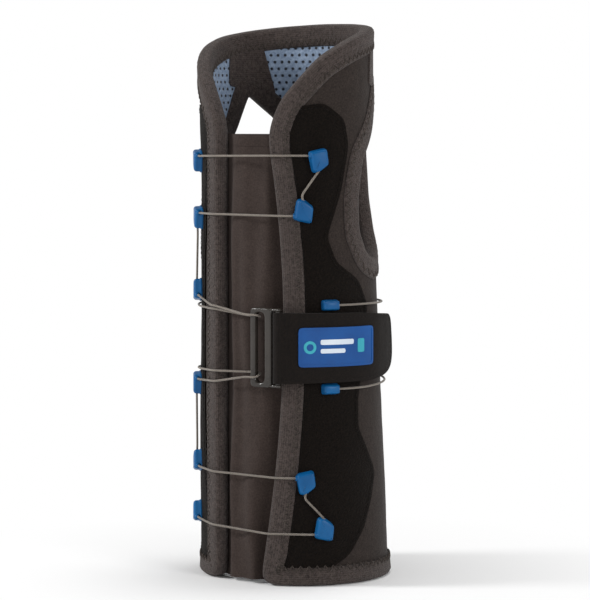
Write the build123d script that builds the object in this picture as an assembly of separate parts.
"""Lace-up wrist splint: a tubular fabric brace that stands on its forearm end, hand end up.

Millimetres, +Z up, the lacing gap faces -Y. Places on the sleeve are given as (t, z, off): t is the angle
in degrees round the sleeve from the middle of the gap towards +X, z the height, off the distance out from
the outer face of the shell.
"""
from build123d import *
import math
import os

os.makedirs("parts", exist_ok=True)

# Sleeve: an oval tube, upright at the front and leaning in at the back.
height = 240.0
front_y = -33.5
back_y = 45.5
back_lean = 1 / 15
half_width_bottom = 42.0
half_width_wrist = 38.5
half_width_top = 40.5
wrist_z = 183.0
loft_top_z = 250.0
axis_shift_x = 0.97
axis_shift_y = 4.6

# Fabric layers, counted out from the shell's outer face.
shell_thickness = 1.6
lining_thickness = 2.6
tape_thickness = 0.9
tape_width = 9.0
bottom_tape_width = 7.5
patch_thickness = 0.7
lining_inner = -shell_thickness - lining_thickness
tape_inner = lining_inner - tape_thickness

# Lacing gap, V-neck and rim.
gap_right_bow_x = 19.2
gap_right_bottom_x = 12.6
gap_bow_z = 112.0
gap_left_x = -14.3
gap_corner_radius = 10.0
neck_edge = [(19, 191), (22.5, 200.5), (29.5, 206.5), (40, 214.2), (52, 222.3), (71, 230.5), (88, 233.9)]
rim_corner = [(101, 235.2), (109, 237.4), (120, 238.7), (150, 239.8)]
rim_arc_end_t = 120
rim_arc_end_z = 238.7
neck_direction = 70.0
wedge_front_t = 35.0
wedge_back_t = 125.0

# Thumb holes: outline on the wall, seen along thumb_direction. Their tape stops short of the fold.
thumb_direction = 116.0
thumb_outline = [
    (121, 210), (107, 194), (90, 181), (84, 165), (84, 151), (92, 141), (104, 138), (121, 141), (135, 150),
    (142, 164), (144, 184), (143, 198),
]
thumb_corner_radius = 2.5
thumb_tape_first_t = 50.0
thumb_tape_last_t = 151.0

# Loop patches: outline on the wall, seen along patch_direction.
patch_direction = 62.0
patch_corner_radius = 3.0
patch_outline = [
    (20, 200), (48, 206), (66, 203), (75, 189), (68, 168), (57, 149), (64, 137), (82, 130), (91, 120),
    (84, 101), (77, 80), (79, 64), (92, 50), (89, 36), (79, 22), (64, 12), (47, 5), (20, 5),
]

# Tongue behind the gap, sewn to the lining along its left edge.
tongue_outer = -5.6
tongue_thickness = 1.4
tongue_bottom_z = 1.5
tongue_top_z = 192.0
tongue_left_t = -50.0
tongue_right_t = 40.0
tongue_seam_t = -43.0
tongue_seam_bottom_z = 8.5

# Stays.
palm_stay_width = 20.0
palm_stay_thickness = 1.6
palm_stay_length = 165.0
palm_stay_start = 28.0
palm_stay_stand_off = 2.5
pocket_play = 0.3
pocket_side_play = 0.4
pocket_fabric = 1.2
pocket_foot = 4.0
pocket_start = 22.0
pocket_end = 205.0
pocket_half_width = 12.6
dorsal_stay_inner_x = 23.0
dorsal_stay_outer_x = 31.0
dorsal_stay_bottom_z = 20.0
dorsal_stay_top_z = 172.0
dorsal_stay_thickness = 1.2
dorsal_stay_corner_radius = 3.9

# The line at the back where the right flap folds open.
fold_t = 157.0
fold_off = 1.0
fold_gap = 0.3

# Lace guides: (side, number, t, z, kind).
guide_foot = patch_thickness
guide_height = 3.2
channel_off = 2.4
channel_radius = 0.8
guides = [
    ("right", 1, 52.0, 180.5, "upper"),
    ("right", 2, 42.0, 160.0, "lower"),
    ("right", 3, 58.0, 119.8, "tunnel"),
    ("right", 4, 57.0, 84.3, "tunnel"),
    ("right", 5, 41.0, 44.2, "upper"),
    ("right", 6, 51.5, 24.9, "lower"),
    ("left", 1, -52.0, 180.0, "upper"),
    ("left", 2, -50.0, 155.4, "upper"),
    ("left", 3, -54.0, 124.4, "lower"),
    ("left", 4, -54.0, 82.9, "upper"),
    ("left", 5, -50.0, 49.7, "lower"),
    ("left", 6, -52.0, 27.0, "lower"),
]
guide_corner_radius = 0.7
corner_guide = [(-4.4, 4.0), (3.0, 5.7), (3.9, -1.4), (-0.4, -4.8), (-2.8, -4.8)]
tunnel_length = 7.2
tunnel_width = 4.4
tunnel_corner_radius = 0.8
tunnel_lead = 7.1
tunnel_stop = 2.6

# The lace's way through a corner guide: (along the wall, up).
corner_route = [(-5.8, 2.4), (0.5, 2.4), (1.7, -1.0), (-1.5, -5.6)]

# Laces.
lace_radius = 0.5
lace_play = 0.4
corner_share = 0.45
lace_on_tape = 1.9
edge_route = [(4.0, 2.05), (1.0, lace_on_tape)]
gap_bow_rate = 0.0009
ring_lead = 3.4
upper_crossings = [(182.6, 182.9), (157.6, 157.8)]
upper_edge_z = 118.6
upper_turn = (114.7, 113.5)
upper_wrap_z = 117.2
lower_crossings = [(23.8, 22.6), (46.6, 46.9)]
lower_edge_z = 86.0
lower_turn = (89.3, 91.0)
lower_wrap_z = 90.6
lace_on_wall = 2.05
wrap_first_t = 27.0
wrap_last_lead = 26.0
wrap_steps = 14

# Pull ring, strap and label.
ring_left_x = 6.0
ring_plate_x = 17.0
ring_bottom_z = 85.1
ring_top_z = 118.9
ring_y = -34.5
ring_thickness = 3.0
ring_corner_radius = 3.0
ring_bar_radius = 1.4
ring_edge_radius = 0.9
slot_right_x = 13.4
slot_bottom_z = 87.9
slot_top_z = 116.1
slot_corner_radius = 1.0
rod_x = 19.6
rod_radius = 1.05
arm_height = 1.6
arm_overlap = 1.0
loop_radius = 2.2
rod_play = 0.1
strap_bottom_z = 87.0
strap_top_z = 117.0
strap_thickness = 1.7
strap_path = [(37, 4.5), (48, 3.3), (60, 3.1), (75, 3.1), (90, 3.1), (104, 3.1)]
strap_tip = [(112, 3.8), (117, 4.9)]
strap_corner_radius = 3.0
strap_side = [
    (-60, 87), (11, 87), (19, 88.5), (25.5, 94), (26, 100), (18.5, 112), (4, 116), (-12, 117), (-60, 117),
]
strap_piece_play = 0.02
band_steps = 24
pad_thickness = 1.1
pad_start = 0.42
pad_end = 0.9
pad_margin = 1.5
label_thickness = 0.5
label_start = 0.14
label_end = 0.68
label_bottom_z = 94.0
label_top_z = 110.7

# Cutters reach past the sleeve on every side.
reach = 120.0
slab_width = 480.0
overshoot = 40.0
punch_start = 15.0


def sin(degrees):
    return math.sin(math.radians(degrees))


def cos(degrees):
    return math.cos(math.radians(degrees))


def half_width(z):
    """Half of the sleeve's width at z."""
    if z < wrist_z:
        return half_width_bottom + (half_width_wrist - half_width_bottom) * z / wrist_z
    return half_width_wrist + (half_width_top - half_width_wrist) * (z - wrist_z) / (height - wrist_z)


def half_depth(z):
    """Half of the sleeve's depth at z."""
    return (back_y - back_lean * z - front_y) / 2


def centre_y(z):
    """Middle of the sleeve's depth at z."""
    return (back_y - back_lean * z + front_y) / 2


def on_wall(t, z, off=0.0):
    """The point at angle t and height z, off out from the shell's outer face."""
    return Vector((half_width(z) + off) * sin(t), centre_y(z) - (half_depth(z) + off) * cos(t), z)


def tube(off):
    """The sleeve's solid out to off."""
    sections = [
        Plane((0, centre_y(z), z)) * Ellipse(half_width(z) + off, half_depth(z) + off)
        for z in (0, wrist_z, loft_top_z)
    ]
    return loft(sections, ruled=True)


def layer(outer, inner):
    """One fabric layer of the whole tube, untrimmed."""
    return tube(outer) - tube(inner)


def facing(t):
    """The upright plane through the middle that faces out at angle t, with its y up."""
    return Plane(origin=(0, 0, 0), x_dir=(cos(t), sin(t), 0), z_dir=(sin(t), -cos(t), 0))


def seen(t, z, direction):
    """Where the wall point (t, z) shows on the plane facing(direction)."""
    return (on_wall(t, z).dot(Vector(cos(direction), sin(direction), 0)), z)


def punch(face, direction):
    """A cutter from inside the sleeve out through its wall on one side."""
    plane = facing(direction)
    return extrude(plane.offset(punch_start) * face, reach, dir=plane.z_dir)


def grown(face, margin):
    """The face made larger all round."""
    return offset(face, margin) if margin else face


def wedge(first, last):
    """The part of space between two angles."""
    corners = [(0, 0)]
    corners += [(reach * 2 * sin(t), -reach * 2 * cos(t)) for t in (first, (first + last) / 2, last)]
    return Pos(0, 0, -overshoot) * extrude(Polygon(*corners, align=None), loft_top_z + 2 * overshoot)


def gap_face():
    """The lacing gap and the V-neck, seen from the front."""
    right_foot = gap_right_bottom_x + gap_corner_radius
    left_foot = gap_left_x - gap_corner_radius
    right_neck = [seen(t, z, 0) for t, z in neck_edge]
    left_neck = [(-x, z) for x, z in reversed(right_neck)]
    left_neck[-1] = (gap_left_x, neck_edge[0][1])
    top = loft_top_z + overshoot
    outline = [
        Line((left_foot, -overshoot), (right_foot, -overshoot)),
        Line((right_foot, -overshoot), (right_foot, 0)),
        RadiusArc((right_foot, 0), (gap_right_bottom_x, gap_corner_radius), gap_corner_radius),
        ThreePointArc((gap_right_bottom_x, gap_corner_radius), (gap_right_bow_x, gap_bow_z), right_neck[0]),
        Polyline(*right_neck, (right_neck[-1][0], top), (left_neck[0][0], top), *left_neck),
        Line(left_neck[-1], (gap_left_x, gap_corner_radius)),
        RadiusArc((gap_left_x, gap_corner_radius), (left_foot, 0), gap_corner_radius),
        Line((left_foot, 0), (left_foot, -overshoot)),
    ]
    return make_face(outline)


def neck_side_face():
    """The V-neck's edge and the rim's corner, seen from the right."""
    edge = [seen(t, z, neck_direction) for t, z in neck_edge + rim_corner]
    top = loft_top_z + overshoot
    return Polygon(*edge, (edge[-1][0], top), (edge[0][0], top), align=None)


def rim_face():
    """The space above the rim, seen from behind."""
    left = seen(-rim_arc_end_t, rim_arc_end_z, 180)
    right = seen(rim_arc_end_t, rim_arc_end_z, 180)
    top = loft_top_z + overshoot
    outline = [
        ThreePointArc(left, (0, height), right),
        Polyline(right, (right[0], top), (left[0], top), left),
    ]
    return make_face(outline)


def edge_cutter(margin, bottom_margin):
    """Everything outside the sleeve's free edges, reaching in over them by the margins."""
    front = punch(grown(gap_face(), margin), 0) & wedge(-wedge_front_t, wedge_front_t)
    side = punch(grown(neck_side_face(), margin), neck_direction) & wedge(wedge_front_t, wedge_back_t)
    back = punch(grown(rim_face(), margin), 180) & wedge(wedge_back_t, 360 - wedge_back_t)
    cutter = front + side + mirror(side, Plane.YZ) + back
    if bottom_margin:
        cutter += Pos(0, 0, bottom_margin - overshoot / 2) * Box(slab_width, slab_width, overshoot)
    return cutter


def thumb_cutter(margin):
    """The right thumb hole, larger all round by the margin."""
    hole = Polygon(*[seen(t, z, thumb_direction) for t, z in thumb_outline], align=None)
    hole = fillet(hole.vertices(), thumb_corner_radius)
    return punch(grown(hole, margin), thumb_direction)


def guide_plan(kind):
    """A guide's outline, the gap on its left."""
    if kind == "tunnel":
        return RectangleRounded(tunnel_length, tunnel_width, tunnel_corner_radius)
    outline = Polygon(*corner_guide, align=None)
    outline = fillet(outline.vertices(), guide_corner_radius)
    return mirror(outline, Plane.XZ) if kind == "lower" else outline


def beside(t, z, along, up, off):
    """The wall point a distance along the wall and up from (t, z)."""
    slope = math.hypot(half_width(z) * cos(t), half_depth(z) * sin(t))
    return on_wall(t + math.degrees(along / slope), z + up, off)


def guide_z(side, number):
    """The height of one guide."""
    return next(g[3] for g in guides if g[:2] == (side, number))


def guide_route(side, number):
    """The lace's points through a corner guide, from its gap port to its other port."""
    _, _, t, z, kind = next(g for g in guides if g[:2] == (side, number))
    hand = 1 if side == "right" else -1
    up = 1 if kind == "upper" else -1
    return [beside(t, z, hand * along, up * rise, channel_off) for along, rise in corner_route]


def tunnel_route(t, z):
    """The lace's last straight run, from outside a tunnel guide to its end inside."""
    return [beside(t, z, along, 0, channel_off) for along in (tunnel_lead, -tunnel_stop)]


def guide_channel(side, number):
    """The bore that the lace runs through in one guide."""
    _, _, t, z, kind = next(g for g in guides if g[:2] == (side, number))
    if kind == "tunnel":
        outer_end, inner_end = tunnel_route(t, z)
        run = inner_end - outer_end
        return swept(Line(outer_end - run, inner_end + run), channel_radius)
    return swept(lace_path(guide_route(side, number)), channel_radius)


def over_edge(side, z):
    """The lace's points over the gap's edge tape, from the guides to the gap."""
    hand = 1 if side == "right" else -1
    edge_x = gap_left_x if side == "left" else gap_right_bow_x - gap_bow_rate * (z - gap_bow_z) ** 2
    edge_t = math.degrees(math.asin(abs(edge_x) / (half_width(z) + lace_on_tape)))
    return [on_wall(hand * (edge_t + lead), z, off) for lead, off in edge_route]


def crossing(first, last, levels):
    """A strand over the gap from one side to the other."""
    return over_edge(first, levels[0]) + over_edge(last, levels[1])[::-1]


def wrap(z, end_z, number):
    """A strand from the gap's left edge, round the back, into a tunnel guide on the right."""
    guide_t = next(g[2] for g in guides if g[:2] == ("right", number))
    first_t = -wrap_first_t
    turn = (360 - wrap_first_t - guide_t - wrap_last_lead) / wrap_steps
    route = over_edge("left", z)[::-1]
    for step in range(1, wrap_steps + 1):
        level = z + (end_z - z) * step / wrap_steps
        route.append(on_wall(first_t - turn * step, level, lace_on_wall))
    return route + tunnel_route(guide_t, end_z)


def ring_turn(first_z, second_z):
    """The lace's turn round the ring's left bar: in over the front, out behind."""
    bar_x = ring_left_x + ring_bar_radius
    radius = ring_bar_radius + lace_play + lace_radius
    return [
        Vector(bar_x - ring_lead, ring_y - radius, first_z),
        Vector(bar_x + radius, ring_y - radius, first_z),
        Vector(bar_x + radius, ring_y + radius, second_z),
        Vector(bar_x - ring_lead, ring_y + radius, second_z),
    ]


def upper_lace_path():
    """The lace of the hand half: guides left 1, right 1, right 2, left 2, left 3, the ring, right 3."""
    level = guide_z("right", 3)
    points = guide_route("left", 1)[::-1][2:] + crossing("left", "right", upper_crossings[0])
    points += guide_route("right", 1) + guide_route("right", 2)[::-1]
    points += crossing("right", "left", upper_crossings[1])
    points += guide_route("left", 2) + guide_route("left", 3)[::-1]
    points += over_edge("left", upper_edge_z) + ring_turn(*upper_turn) + wrap(upper_wrap_z, level, 3)
    return lace_path(points)


def lower_lace_path():
    """The lace of the forearm half: guides left 6, right 6, right 5, left 5, left 4, the ring, right 4."""
    level = guide_z("right", 4)
    points = guide_route("left", 6)[::-1][2:] + crossing("left", "right", lower_crossings[0])
    points += guide_route("right", 6) + guide_route("right", 5)[::-1]
    points += crossing("right", "left", lower_crossings[1])
    points += guide_route("left", 5) + guide_route("left", 4)[::-1]
    points += over_edge("left", lower_edge_z) + ring_turn(*lower_turn) + wrap(lower_wrap_z, level, 4)
    return lace_path(points)


def lace_path(points):
    """Straight runs joined by arcs as large as their runs allow."""
    radii = []
    for before, corner, after in zip(points, points[1:], points[2:]):
        run = min((corner - before).length, (after - corner).length)
        turn = (corner - before).get_angle(after - corner)
        radii.append(corner_share * run / math.tan(math.radians(turn / 2)))
    return FilletPolyline(*points, radius=radii)


def swept(path, radius):
    """A round rod along the path."""
    return sweep(Plane(origin=path @ 0, z_dir=path % 0) * Circle(radius), path=path)


def strap_line():
    """The middle of the strap's thickness, seen from above."""
    start = Vector(rod_x, ring_y - loop_radius + strap_thickness / 2, strap_bottom_z)
    return Spline([start] + [on_wall(t, strap_bottom_z, off) for t, off in strap_path + strap_tip])


def band(out, thickness, first, last):
    """A flat strip, seen from above, a distance out from the strap's middle, over part of its length."""
    middle = strap_line()
    inner, outer = [], []
    for step in range(band_steps + 1):
        share = first + (last - first) * step / band_steps
        point = middle @ share
        outward = (middle % share).rotate(Axis.Z, -90)
        inner.append(point + outward * (out - thickness / 2))
        outer.append(point + outward * (out + thickness / 2))
    return make_face([Spline(inner), Line(inner[-1], outer[-1]), Spline(outer), Line(outer[0], inner[0])])


def raised(face, bottom_z, top_z):
    """The strip's face stood up between two heights."""
    return Pos(0, 0, bottom_z - strap_bottom_z) * extrude(face, top_z - bottom_z, dir=(0, 0, 1))


def side_cut(margin):
    """The strap's outline with its tapered tip, seen from the right, smaller by the margin."""
    outline = Polygon(*strap_side, align=None)
    outline = fillet(outline.vertices().filter_by(lambda v: v.X > 0), strap_corner_radius)
    if margin:
        outline = offset(outline, -margin)
    plane = Plane(origin=(0, 0, 0), x_dir=(0, 1, 0), z_dir=(1, 0, 0))
    return extrude(plane * outline, reach)


def pull_ring():
    """A plate with a tall slot, a rounded bar for the laces and a rod for the strap."""
    tall = ring_top_z - ring_bottom_z
    middle_z = (ring_top_z + ring_bottom_z) / 2
    front = Plane(origin=(0, ring_y, middle_z), x_dir=(1, 0, 0), z_dir=(0, -1, 0))
    wide = ring_plate_x - ring_left_x
    plate = Pos(ring_left_x + wide / 2, 0) * RectangleRounded(wide, tall, ring_corner_radius)
    slot_left = ring_left_x + 2 * ring_bar_radius
    slot_wide = slot_right_x - slot_left
    slot = RectangleRounded(slot_wide, slot_top_z - slot_bottom_z, slot_corner_radius)
    slot = Pos(slot_left + slot_wide / 2, 0) * slot
    ring = extrude(front * (plate - slot), ring_thickness / 2, both=True)
    upright = ring.edges().filter_by(Axis.Z)
    bar_edges = upright.filter_by(lambda e: e.center().X < slot_left + ring_bar_radius)
    ring = fillet(bar_edges, ring_edge_radius)
    arm_long = rod_x - ring_plate_x + arm_overlap
    arm_plan = Pos(rod_x - arm_long / 2, ring_y) * Rectangle(arm_long, ring_thickness)
    arm_plan += Pos(rod_x, ring_y) * Circle(ring_thickness / 2)
    for z in (ring_bottom_z, ring_top_z - arm_height):
        ring += extrude(Plane.XY.offset(z) * arm_plan, arm_height, dir=(0, 0, 1))
    rod = Plane.XY.offset(ring_bottom_z + arm_height / 2) * Pos(rod_x, ring_y) * Circle(rod_radius)
    return ring + extrude(rod, tall - arm_height, dir=(0, 0, 1))


def pull_strap():
    """The strap: a sewn loop round the ring's rod and a band round the right flap."""
    strip = raised(band(0, strap_thickness, 0, 1), strap_bottom_z, strap_top_z)
    tall = strap_top_z - strap_bottom_z
    middle_z = (strap_top_z + strap_bottom_z) / 2
    strip += Pos(rod_x, ring_y, middle_z) * Cylinder(loop_radius, tall)
    strip -= Pos(rod_x, ring_y, middle_z) * Cylinder(rod_radius + rod_play, 2 * tall)
    return strip & side_cut(0)


def palm_stay_parts():
    """The flat stay and its pocket, on the plane that leans with the back."""
    lean = math.hypot(1, back_lean)
    back = Plane(
        origin=(0, back_y + lining_inner, 0), x_dir=(1, 0, 0), z_dir=(0, -1 / lean, -back_lean / lean)
    )
    stay_outline = Pos(0, palm_stay_start + palm_stay_length / 2) * SlotOverall(
        palm_stay_length, palm_stay_width, rotation=90
    )
    stay = extrude(back.offset(palm_stay_stand_off) * stay_outline, palm_stay_thickness)
    depth = palm_stay_stand_off + palm_stay_thickness + pocket_play
    long = pocket_end - pocket_start
    shell = Pos(0, pocket_start + long / 2) * Rectangle(2 * pocket_half_width, long)
    pocket = extrude(back.offset(-pocket_fabric) * shell, depth + 2 * pocket_fabric)
    hollow = Rectangle(palm_stay_width + 2 * pocket_side_play, long)
    hollow = Pos(0, pocket_start + pocket_foot + long / 2) * hollow
    pocket -= extrude(back.offset(-2 * pocket_fabric) * hollow, depth + 2 * pocket_fabric)
    return stay, pocket & tube(lining_inner)


def fold_plane():
    """The plane that parts the right flap from the back, through the fold line."""
    low = on_wall(fold_t, 0, fold_off)
    high = on_wall(fold_t, height, fold_off)
    line = (high - low).normalized()
    across = Vector(-cos(fold_t), -sin(fold_t), 0)
    across = (across - line * across.dot(line)).normalized()
    return Plane(origin=low, x_dir=line, z_dir=across)


def parted(piece):
    """The piece's two sides of the fold: main, right flap."""
    plane = fold_plane()
    main = split(piece, plane.offset(-fold_gap / 2), keep=Keep.BOTTOM)
    flap = split(piece, plane.offset(fold_gap / 2), keep=Keep.TOP)
    return main, flap


def fabric_layers():
    """Shell, lining and edge tape of the whole sleeve, and the thumb holes' tapes."""
    trim = edge_cutter(tape_thickness, tape_thickness)
    tape_zone = edge_cutter(tape_width, bottom_tape_width)
    outside = edge_cutter(0, 0)
    hole = thumb_cutter(tape_thickness)
    hole_zone = thumb_cutter(tape_width)
    hole_open = thumb_cutter(0)
    holes = hole + mirror(hole, Plane.YZ)
    shell = layer(0, -shell_thickness) - trim - holes
    lining = layer(-shell_thickness, lining_inner) - trim - holes
    wall = layer(0, lining_inner)
    wrap_around = layer(tape_thickness, tape_inner)
    tape = (wrap_around & tape_zone) - outside - (wall - trim)
    hole_tape = (wrap_around & hole_zone) - hole_open - (wall - hole)
    hole_tape = hole_tape & wedge(thumb_tape_first_t, thumb_tape_last_t)
    patch_plan = Polygon(*[seen(t, z, patch_direction) for t, z in patch_outline], align=None)
    patch_plan = fillet(patch_plan.vertices(), patch_corner_radius)
    patch_cut = punch(patch_plan, patch_direction)
    skin = layer(patch_thickness, 0)
    patch = (skin & patch_cut) - tape_zone - hole_zone
    left_patch = (skin & mirror(patch_cut, Plane.YZ)) - tape_zone - mirror(hole_zone, Plane.YZ)
    return shell, lining, tape, hole_tape, patch, left_patch


def build():
    """Every piece by its node name."""
    pieces = {}
    shell, lining, tape, hole_tape, patch, left_patch = fabric_layers()
    stay_span = dorsal_stay_outer_x - dorsal_stay_inner_x
    stay_tall = dorsal_stay_top_z - dorsal_stay_bottom_z
    stay_plan = Pos((dorsal_stay_outer_x + dorsal_stay_inner_x) / 2, dorsal_stay_bottom_z + stay_tall / 2)
    stay_plan = stay_plan * RectangleRounded(stay_span, stay_tall, dorsal_stay_corner_radius)
    stay_layer = layer(-shell_thickness, -shell_thickness - dorsal_stay_thickness)
    dorsal = stay_layer & punch(stay_plan, 0)
    dorsal_left = stay_layer & mirror(punch(stay_plan, 0), Plane.YZ)
    lining = lining - dorsal - dorsal_left
    pieces["outer_shell_main"], pieces["outer_shell_right_flap"] = parted(shell)
    pieces["lining_main"], pieces["lining_right_flap"] = parted(lining)
    pieces["edge_tape_main"], pieces["edge_tape_right_flap"] = parted(tape)
    pieces["thumb_hole_tape_right"] = hole_tape
    pieces["thumb_hole_tape_left"] = mirror(hole_tape, Plane.YZ)
    pieces["dorsal_stay_right"] = dorsal
    pieces["dorsal_stay_left"] = dorsal_left

    tongue_tall = tongue_top_z - tongue_bottom_z
    slab = Pos(0, 0, tongue_bottom_z) * extrude(Rectangle(slab_width, slab_width), tongue_tall)
    tongue = layer(tongue_outer, tongue_outer - tongue_thickness) & wedge(tongue_left_t, tongue_right_t)
    tongue = tongue & slab
    sewn = layer(lining_inner, tongue_outer) & wedge(tongue_left_t, tongue_seam_t)
    sewn_tall = tongue_top_z - tongue_seam_bottom_z
    sewn_slab = Pos(0, 0, tongue_seam_bottom_z) * extrude(Rectangle(slab_width, slab_width), sewn_tall)
    tongue += sewn & sewn_slab
    pieces["tongue"] = tongue
    pieces["palm_stay"], pieces["palm_stay_pocket"] = palm_stay_parts()

    pieces["upper_lace"] = swept(upper_lace_path(), lace_radius)
    pieces["lower_lace"] = swept(lower_lace_path(), lace_radius)

    pads = layer(guide_foot + guide_height, guide_foot)
    for side, number, t, z, kind in guides:
        plan = guide_plan(kind)
        plan = mirror(plan, Plane.YZ) if side == "left" else plan
        spot, level = seen(t, z, t)
        block = pads & punch(Pos(spot, level) * plan, t)
        pieces[f"lace_guide_{side}_{number}"] = block - guide_channel(side, number)
    pieces["loop_patch_right"] = patch
    pieces["loop_patch_left"] = left_patch

    pieces["pull_ring"] = pull_ring()
    pieces["pull_strap"] = pull_strap()
    pad_out = -(strap_thickness + pad_thickness) / 2 - strap_piece_play
    pad = raised(band(pad_out, pad_thickness, pad_start, pad_end), strap_bottom_z, strap_top_z)
    pieces["strap_hook_pad"] = pad & side_cut(pad_margin)
    label_out = (strap_thickness + label_thickness) / 2 + strap_piece_play
    label = band(label_out, label_thickness, label_start, label_end)
    pieces["label"] = raised(label, label_bottom_z, label_top_z)
    return pieces


pieces = build()
whole = None
for name, piece in pieces.items():
    placed = Pos(-axis_shift_x, -axis_shift_y, 0) * piece
    box = placed.bounding_box()
    whole = box if whole is None else whole.add(box)
    export_step(placed, f"parts/{name}.step")
print("box", whole.min, whole.max)
fold = fold_plane()
print("fold line", fold.origin - Vector(axis_shift_x, axis_shift_y, 0), fold.x_dir)
